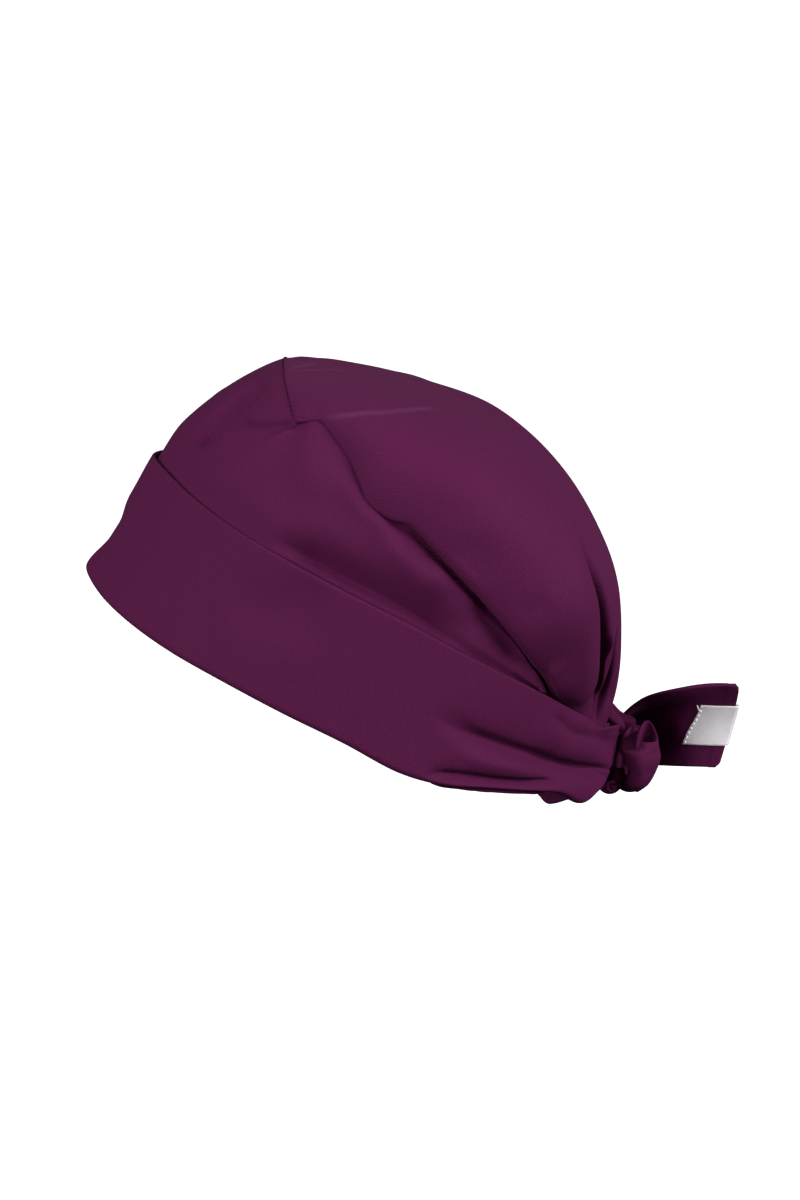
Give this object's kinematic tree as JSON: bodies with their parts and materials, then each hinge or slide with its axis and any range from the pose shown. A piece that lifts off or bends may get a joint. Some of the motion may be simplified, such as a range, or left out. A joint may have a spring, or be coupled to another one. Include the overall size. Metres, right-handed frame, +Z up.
{
  "type": "scrub cap",
  "caption": "Soft domed cloth cap with a wide turned-up band, a gathered back and a tie knotted at the nape.",
  "frame": {"origin": "middle of the head opening, in the plane of the rim", "axes": "+Z up, +Y towards the back of the wearer's head, +X towards the wearer's left; the rim leans back 28 degrees, as worn"},
  "size_m": [0.156, 0.2483, 0.1793],
  "materials": {
    "cap_cloth": "plum twill with a soft satin sheen",
    "tie_cloth": "plum twill, two plies sewn together",
    "label_cloth": "plain woven satin strip, blank"
  },
  "bodies": {
    "root": {"front_panel": "cap_cloth", "back_panel": "cap_cloth", "turned_up_band": "cap_cloth", "tie_knot": "tie_cloth", "tie_end_left": "tie_cloth", "tie_end_right": "tie_cloth", "tie_label": "label_cloth"}
  },
  "joints": []
}
